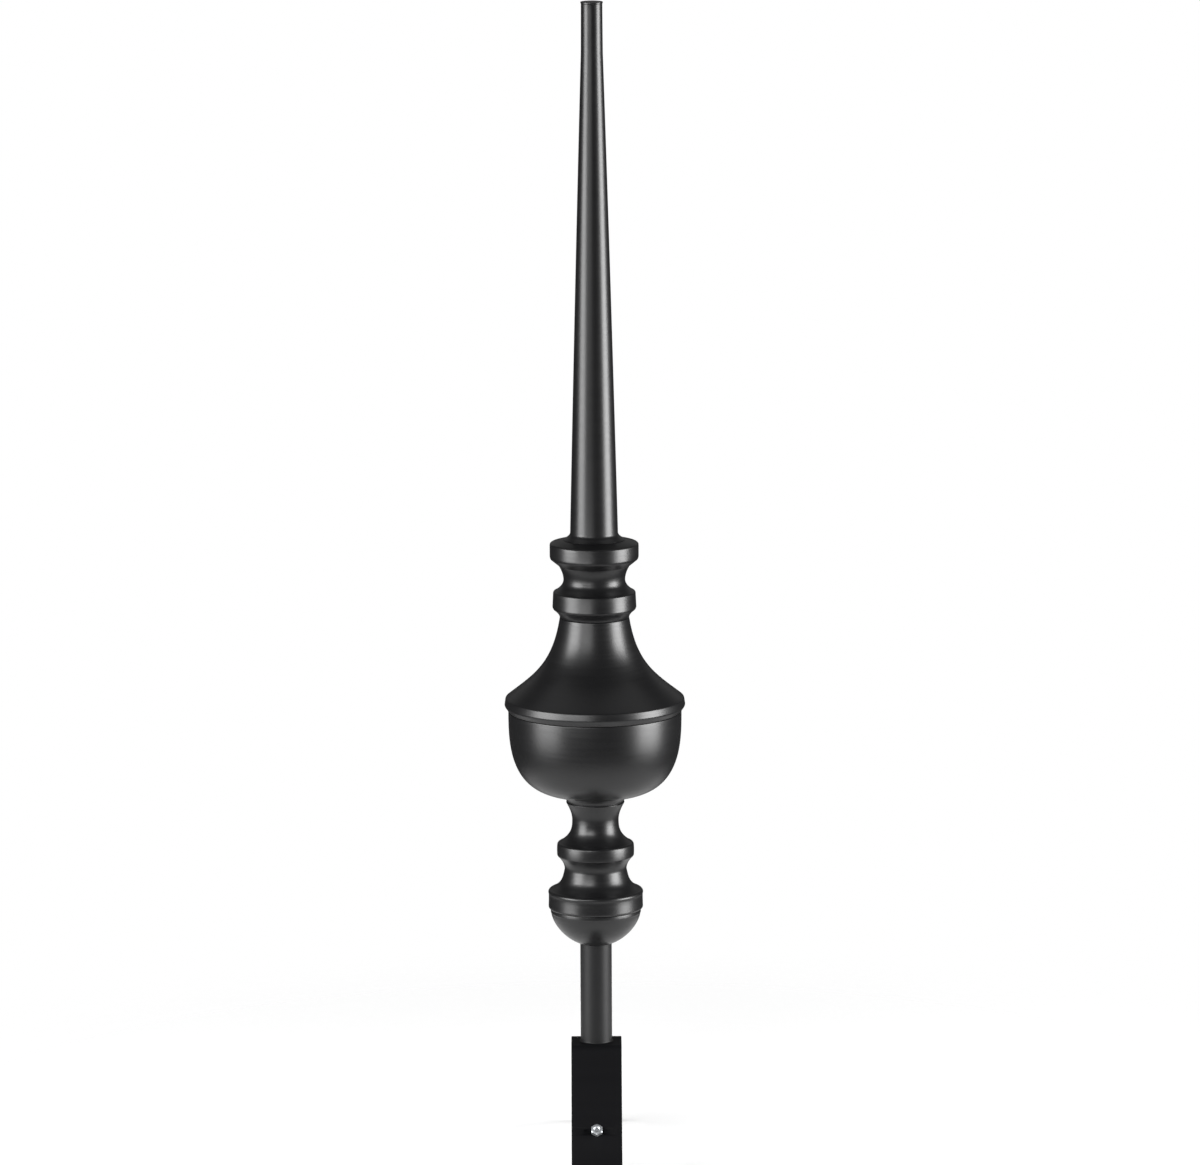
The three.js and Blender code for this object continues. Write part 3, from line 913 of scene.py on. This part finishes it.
@dataclass
class Saddle:
    """The flat strap bent over the ridge, with rounded edges and a hole for each screw."""

    thickness: float = 5.0
    bend_inner_radius: float = 7.0
    pitch_deg: float = 45.0
    bend_points: int = 13
    leg_length: float = 160.0
    leg_points: int = 33
    crown_depth: float = 34.8
    edge_round: float = 0.7
    edge_steps: int = 4
    hole_radius: float = 3.5
    drill_reach: float = 20.0
    screw_from_bend: float = 95.0

    def path(self) -> tuple[np.ndarray, np.ndarray]:
        """The middle line of the strap from the front leg's end to the back leg's, and its direction.

        Returns:
            Rows of y and z in millimetres, and the heading at each, in radians above +Y.
        """
        pitch = math.radians(self.pitch_deg)
        mid = self.bend_inner_radius + self.thickness / 2
        swing = np.linspace(0, pitch, self.bend_points)
        bend = np.column_stack([
            self.crown_depth / 2 + mid * np.sin(swing),
            mid * np.cos(swing) - self.bend_inner_radius,
        ])
        reach = np.linspace(0, self.leg_length, self.leg_points)[1:, None]
        leg = bend[-1] + reach * np.array([math.cos(pitch), -math.sin(pitch)])
        half = np.vstack([bend, leg])
        heading = -np.concatenate([swing, np.full(len(leg), pitch)])
        points = np.vstack([half[::-1] * [-1, 1], half])
        return points, np.concatenate([-heading[::-1], heading])

    def section(self, width: float) -> np.ndarray:
        """The strap's section, a rectangle with rounded corners.

        Args:
            width: the strap's width.

        Returns:
            Rows of x and of height off the middle line.
        """
        side = width / 2 - self.edge_round
        face = self.thickness / 2 - self.edge_round
        corners = [(side, -face, -90), (side, face, 0), (-side, face, 90), (-side, -face, 180)]
        return np.vstack([
            arc([x, z], self.edge_round, start, start + 90, self.edge_steps) for x, z, start in corners
        ])

    def build(self, material: bpy.types.Material) -> None:
        """Makes and dresses the saddle: the section carried along the path, pulled in at both ends.

        Args:
            material: the strap's paint.
        """
        low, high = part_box("saddle")
        section = self.section((high[0] - low[0]) / MM)
        points, heading = self.path()
        along_path = np.column_stack([np.cos(heading), np.sin(heading)])
        across = np.column_stack([-np.sin(heading), np.cos(heading)])
        rings = np.zeros((len(points), len(section), 3))
        rings[..., 0] = section[:, 0]
        rings[..., 1:] = points[:, None, :] + across[:, None, :] * section[None, :, 1:]
        inset = 1 - 2 * self.edge_round / np.array([np.ptp(section[:, 0]), self.thickness])
        cap = np.zeros((2, len(section), 3))
        cap[..., 0] = section[:, 0] * inset[0]
        for end in (0, -1):
            cap[end, :, 1:] = points[end] + across[end] * section[:, 1:] * inset[1]
        rings[0, :, 1:] += along_path[0] * self.edge_round
        rings[-1, :, 1:] -= along_path[-1] * self.edge_round
        rings = np.vstack([cap[:1], rings, cap[1:]]) * MM
        ends = np.array([[0, *points[0]], [0, *points[-1]]]) * MM
        piece = closed_rings("saddle_strap", rings[:, ::-1], ends, crease_deg=50)
        self.drill(piece)
        dress(piece, "saddle", material)

    def drill(self, piece: bpy.types.Object) -> None:
        """Cuts the screw holes with a Boolean, and keeps the result as the piece's own mesh.

        Args:
            piece: the whole strap.
        """
        outline = np.array([[0, -1], [1, -1], [1, 1], [0, 1]]) * [self.hole_radius, self.drill_reach]
        for back in (False, True):
            drill = lathe("drill", outline, 0.0)
            drill.data.transform(screw_place(self, back))
            cut = piece.modifiers.new("hole", "BOOLEAN")
            cut.operation = "DIFFERENCE"
            cut.solver = "EXACT"
            cut.object = drill
            bpy.context.view_layer.update()
            drilled = piece.evaluated_get(bpy.context.evaluated_depsgraph_get())
            mesh = bpy.data.meshes.new_from_object(drilled)
            piece.modifiers.clear()
            piece.data = mesh
            bpy.data.objects.remove(drill)


def screw_place(saddle: Saddle, back: bool) -> Matrix:
    """Where a screw sits: the origin on the leg's outer face, and Z straight out of it.

    Args:
        saddle: the strap that it holds.
        back: whether it is the back leg's screw.

    Returns:
        The place, in metres.
    """
    pitch = math.radians(saddle.pitch_deg)
    outer = saddle.bend_inner_radius + saddle.thickness
    down = saddle.screw_from_bend
    y = -saddle.crown_depth / 2 - outer * math.sin(pitch) - down * math.cos(pitch)
    z = saddle.thickness - outer * (1 - math.cos(pitch)) - down * math.sin(pitch)
    place = Matrix.Translation(Vector((0, y, z)) * MM) @ Matrix.Rotation(pitch, 4, "X")
    return Matrix.Rotation(math.pi, 4, "Z") @ place if back else place


@dataclass
class LagScrew:
    """A hexagonal head with a dimple, a threaded shank and a point."""

    across_flats: float = 11.1
    head_height: float = 4.6
    head_chamfer: float = 0.8
    underside_chamfer: float = 0.3
    top_roll: float = 0.25
    dimple_radius: float = 3.2
    dimple_depth: float = 0.8
    dimple_wall: float = 1.1
    shank_radius: float = 3.2
    shank_length: float = 48.0
    tip_length: float = 9.0
    thread_pitch: float = 2.5
    thread_depth: float = 0.7
    thread_rows: int = 220
    plain_shank: float = 9.0
    seam: float = 0.3
    columns: int = 96

    def surface(self) -> tuple[np.ndarray, np.ndarray]:
        """The whole screw as rings round its own axis, from the point up to the dimple's floor.

        On the shank the radius is a cone's or cylinder's, less the thread's depth times a triangle wave of
        (height / pitch - angle / turn). On the head it is the smaller of the hexagon's flat / cos(angle from
        the middle of the flat) and the ring's own radius, so that the chamfer cuts only the corners.

        Returns:
            The rings, and the two end points, in millimetres.
        """
        angle = np.linspace(0, 2 * np.pi, self.columns, endpoint=False)
        z = np.linspace(-self.shank_length, -self.plain_shank, self.thread_rows)[1:]
        body = np.clip((z + self.shank_length) / self.tip_length, 0, 1) * self.shank_radius
        turn = z[:, None] / self.thread_pitch - angle / (2 * np.pi)
        wave = np.abs(2 * (turn - np.floor(turn)) - 1)
        fade = np.clip(-(z + self.plain_shank) / self.thread_pitch, 0, 1)
        fade = fade * np.clip(body / self.shank_radius, 0, 1)
        thread = body[:, None] - self.thread_depth * wave * fade[:, None]
        flat = self.across_flats / 2
        sixth = math.pi / 3
        hexagon = flat / np.cos((angle + sixth / 2) % sixth - sixth / 2)
        past_corners = self.across_flats
        foot = self.seam
        top = self.seam + self.head_height
        caps = [
            (self.shank_radius, foot),
            (flat - self.underside_chamfer, foot),
            (past_corners, foot + self.underside_chamfer),
            (past_corners, top - self.head_chamfer),
            (flat, top - self.top_roll),
            (flat - self.head_chamfer, top),
            (self.dimple_radius, top),
            (self.dimple_radius - self.dimple_wall, top - self.dimple_depth),
        ]
        head = np.stack([np.minimum(radius, hexagon) for radius, _ in caps])
        radius = np.vstack([thread, head])
        levels = np.concatenate([z, [level for _, level in caps]])
        height = np.broadcast_to(levels[:, None], radius.shape)
        rings = np.stack([radius * np.cos(angle), radius * np.sin(angle), height], axis=-1)
        return rings, np.array([[0, 0, -self.shank_length], [0, 0, top - self.dimple_depth]])

    def build(self, saddle: Saddle, material: bpy.types.Material) -> None:
        """Makes and dresses both screws.

        Args:
            saddle: the strap that they hold.
            material: the plating.
        """
        rings, ends = self.surface()
        for node, back in (("lag_screw_front", False), ("lag_screw_back", True)):
            piece = closed_rings(node + "_threaded", rings * MM, ends * MM, crease_deg=30)
            piece.data.transform(screw_place(saddle, back))
            dress(piece, node, material)


# Floor, light and camera, with sizes in metres


def area_light(name: str, width: float, height: float, radiance: float) -> bpy.types.Object:
    """Makes a panel of light that the camera doesn't see. Its power is the radiance times pi times its area.

    Args:
        name: the light's name.
        width: its size along its own X.
        height: its size along its own Y.
        radiance: how bright its face is.

    Returns:
        The light, linked into the scene, at the origin and facing down.
    """
    light = bpy.data.lights.new(name, "AREA")
    light.shape = "RECTANGLE"
    light.size = width
    light.size_y = height
    light.energy = radiance * math.pi * width * height
    lamp = bpy.data.objects.new(name, light)
    lamp.visible_camera = False
    bpy.context.scene.collection.objects.link(lamp)
    log.info("%s: %.1f W", name, light.energy)
    return lamp


@dataclass
class Softbox:
    """A soft panel that stands upright and faces the finial's axis.

    The bearing is its angle round the axis from the camera's side, positive to the right, and the middle is
    the height of its centre.
    """

    name: str
    bearing_deg: float
    distance: float
    width: float
    height: float
    middle: float
    radiance: float

    def build(self) -> None:
        """Makes the light, puts it in its place and turns it to the axis."""
        bearing = math.radians(self.bearing_deg)
        place = Vector((self.distance * math.sin(bearing), -self.distance * math.cos(bearing), self.middle))
        facing = Vector((-place.x, -place.y, 0.0)).to_track_quat("-Z", "Y")
        lamp = area_light(self.name, self.width, self.height, self.radiance)
        lamp.matrix_world = Matrix.Translation(place) @ facing.to_matrix().to_4x4()


@dataclass
class Studio:
    """The pale floor, the surroundings, the panel overhead and the softboxes."""

    floor_points: int = 96
    floor_drop: float = 0.0002
    floor_radius: float = 0.95
    floor_clear: float = 0.42
    floor_tone: str = "e8e8e8"
    floor_glow: float = 0.35
    surround: float = 0.04
    ceiling_size: tuple[float, float] = (3.4, 1.3)
    ceiling_place: tuple[float, float, float] = (0.0, 0.6, 2.5)
    ceiling_radiance: float = 0.45
    # Each has its name, then bearing, distance, width, height, middle and radiance
    softboxes: list[Softbox] = field(default_factory=lambda: [
        Softbox("softbox_left", -65.5, 3.0, 1.85, 2.16, 0.70, 10.0),
        Softbox("softbox_left_top", -62, 2.9, 1.7, 0.9, 1.35, 3.5),
        Softbox("softbox_left_foot", -65.5, 3.0, 1.85, 0.30, -0.53, 2.5),
        Softbox("softbox_right", 75.5, 3.0, 1.80, 2.10, 0.66, 15.7),
        Softbox("softbox_right_foot", 75.5, 3.0, 1.80, 0.30, -0.54, 6.0),
        Softbox("far_card_left", -29, 3.0, 2.3, 1.3, 1.15, 1.2),
        Softbox("high_card_left", -23, 3.0, 1.6, 1.0, 1.5, 4.0),
        Softbox("near_card_left", -27, 0.42, 0.30, 0.07, 0.395, 7.0),
        Softbox("back_card", 180, 3.0, 4.0, 1.7, 1.65, 0.16),
    ])

    def floor(self) -> None:
        """Makes the floor: a plain disc at the lowest level, which fades out towards its edge."""
        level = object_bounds()[0][2] - self.floor_drop
        angle = np.linspace(0, 2 * np.pi, self.floor_points, endpoint=False)
        rim = self.floor_radius * np.column_stack([np.cos(angle), np.sin(angle)])
        vertices = np.column_stack([rim, np.full(len(rim), level)])
        disc = new_mesh("floor", vertices, [np.arange(len(rim))[None, :]], crease_deg=30)
        material, tree, place = blank_material("Matt white card")
        flat = add_node(tree, "ShaderNodeVectorMath", {"operation": "MULTIPLY"}, _0=place, _1=(1.0, 1.0, 0.0))
        away = add_node(tree, "ShaderNodeVectorMath", {"operation": "LENGTH"}, _0=flat.outputs[0])
        fade = add_node(
            tree, "ShaderNodeMapRange", {"interpolation_type": "SMOOTHERSTEP"}, Value=away.outputs["Value"],
            From_Min=self.floor_clear, From_Max=self.floor_radius, To_Min=0.0, To_Max=1.0,
        )
        card = add_node(
            tree, "ShaderNodeBsdfPrincipled", Base_Color=linear(self.floor_tone), Roughness=1.0,
            Specular_IOR_Level=0.0, Emission_Color=WHITE, Emission_Strength=self.floor_glow,
        )
        clear = add_node(tree, "ShaderNodeBsdfTransparent")
        blend = add_node(
            tree, "ShaderNodeMixShader", _0=fade.outputs[0], _1=card.outputs[0], _2=clear.outputs[0],
        )
        add_node(tree, "ShaderNodeOutputMaterial", Surface=blend.outputs[0])
        disc.data.materials.append(material)
        disc.visible_shadow = False
        disc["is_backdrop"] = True

    def ceiling(self) -> None:
        """Makes the dim panel overhead, which lightens every surface that faces up."""
        lamp = area_light("ceiling", *self.ceiling_size, self.ceiling_radiance)
        lamp.location = self.ceiling_place

    def surroundings(self) -> None:
        """Makes the world: a white sweep behind the object, and a dim room that lights and reflects."""
        world = bpy.data.worlds.new("studio")
        world.use_nodes = True
        tree = world.node_tree
        tree.nodes.clear()
        seen = add_node(tree, "ShaderNodeLightPath")
        sweep = add_node(tree, "ShaderNodeBackground", Color=WHITE, Strength=1.0)
        room = add_node(tree, "ShaderNodeBackground", Color=WHITE, Strength=self.surround)
        blend = add_node(
            tree, "ShaderNodeMixShader",
            _0=seen.outputs["Is Camera Ray"], _1=room.outputs[0], _2=sweep.outputs[0],
        )
        add_node(tree, "ShaderNodeOutputWorld", Surface=blend.outputs[0])
        bpy.context.scene.world = world

    def build(self) -> None:
        """Makes the floor, the surroundings, the ceiling and the softboxes."""
        self.floor()
        self.surroundings()
        self.ceiling()
        for softbox in self.softboxes:
            softbox.build()


@dataclass
class Viewpoint:
    """The camera: a long lens that looks a little down, with the axis just left of the middle of the frame.

    Sizes ending in px are in pixels of a frame 1200 wide, and the aim's height is in millimetres.
    """

    elevation_deg: float = 10.5
    focal_px: float = 7500.0
    frame_px: float = 1200.0
    mm_per_px: float = 1.002
    aim_height: float = 477.1
    axis_left_px: float = 5.7
    roll_deg: float = 0.27
    sensor: float = 36.0
    clip_end: float = 100.0

    def build(self) -> None:
        """Makes the camera, aims it and makes it the scene's own."""
        data = bpy.data.cameras.new("camera")
        data.sensor_width = self.sensor
        data.lens = self.sensor * self.focal_px / self.frame_px
        data.clip_end = self.clip_end
        camera = bpy.data.objects.new("camera", data)
        aim = Vector((0, 0, self.aim_height * MM))
        elevation = math.radians(self.elevation_deg)
        back = Vector((0, -math.cos(elevation), math.sin(elevation)))
        place = aim + back * self.focal_px * self.mm_per_px * MM
        right = Vector((1, 0, 0))
        turned = Matrix((right, back.cross(right), back)).transposed()
        yaw = Matrix.Rotation(-self.axis_left_px / self.focal_px, 3, "Y")
        roll = Matrix.Rotation(-math.radians(self.roll_deg), 3, "Z")
        camera.matrix_world = Matrix.Translation(place) @ (turned @ yaw @ roll).to_4x4()
        bpy.context.scene.collection.objects.link(camera)
        bpy.context.scene.camera = camera


def main() -> None:
    """Aims the camera, builds the pieces from the top down, then the studio."""
    logging.basicConfig(level=logging.INFO, format="%(name)s: %(message)s")
    Viewpoint().build()
    satin = SATIN_COAT.build()
    Spire().build(satin)
    Collar().build(satin)
    Bulb().build(satin)
    Pedestal().build(satin)
    Mast().build(BAR_ENAMEL.build())
    saddle = Saddle()
    saddle.build(STRAP_PAINT.build())
    LagScrew().build(saddle, ZINC.build())
    Studio().build()
    bpy.context.scene.view_settings.view_transform = "Standard"


if __name__ == "__main__":
    main()
